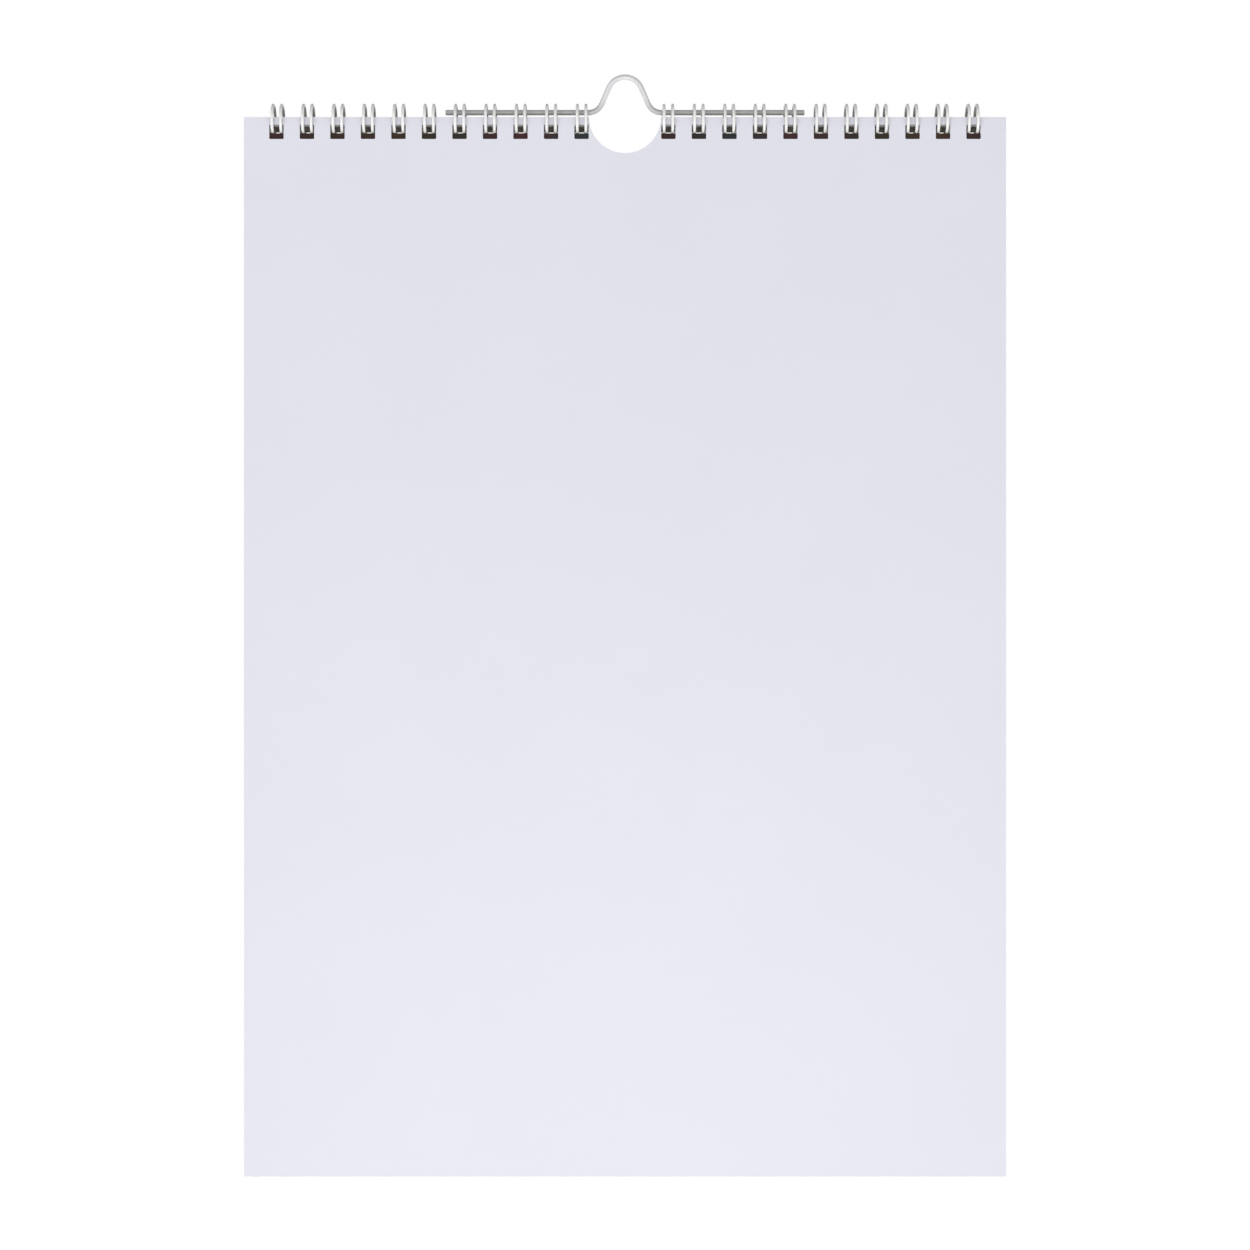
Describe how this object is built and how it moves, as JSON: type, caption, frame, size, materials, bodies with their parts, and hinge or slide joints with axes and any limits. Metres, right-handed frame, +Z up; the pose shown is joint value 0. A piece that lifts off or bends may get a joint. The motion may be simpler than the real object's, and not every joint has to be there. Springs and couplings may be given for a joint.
{
  "type": "wall calendar",
  "caption": "Wall calendar with a blank cover, punched month sheets and a back board on twin-loop wire combs, hung by a wire loop that folds into a half-round thumb cut.",
  "frame": {"origin": "underside of the hanger loop's crown, where a nail bears", "axes": "+Z up, the cover faces -Y, +Y towards the wall, +X to the right seen from the front"},
  "size_m": [0.2116, 0.0092, 0.3064],
  "materials": {
    "cover_paper": "satin",
    "sheet_paper": "satin",
    "board": "matte",
    "wire_coating": "satin",
    "hanger_coating": "satin"
  },
  "bodies": {
    "hanger": {"hanger": "hanger_coating"},
    "binding": {"wire_left": "wire_coating", "wire_right": "wire_coating", "month_pages": "sheet_paper"},
    "cover": {"front_cover": "cover_paper"},
    "board": {"back_board": "board"}
  },
  "joints": [
    {"name": "hanger_fold", "type": "hinge", "parent": "hanger", "child": "binding", "pos_m": [0, 0, -0.00913], "axis": [1, 0, 0], "range_deg": [-180, 180]},
    {"name": "cover_turn", "type": "hinge", "parent": "binding", "child": "cover", "pos_m": [0, 0, -0.01132], "axis": [-1, 0, 0], "range_deg": [0, 145]},
    {"name": "board_swing", "type": "hinge", "parent": "binding", "child": "board", "pos_m": [0, 0, -0.01132], "axis": [1, 0, 0], "range_deg": [0, 30]}
  ]
}
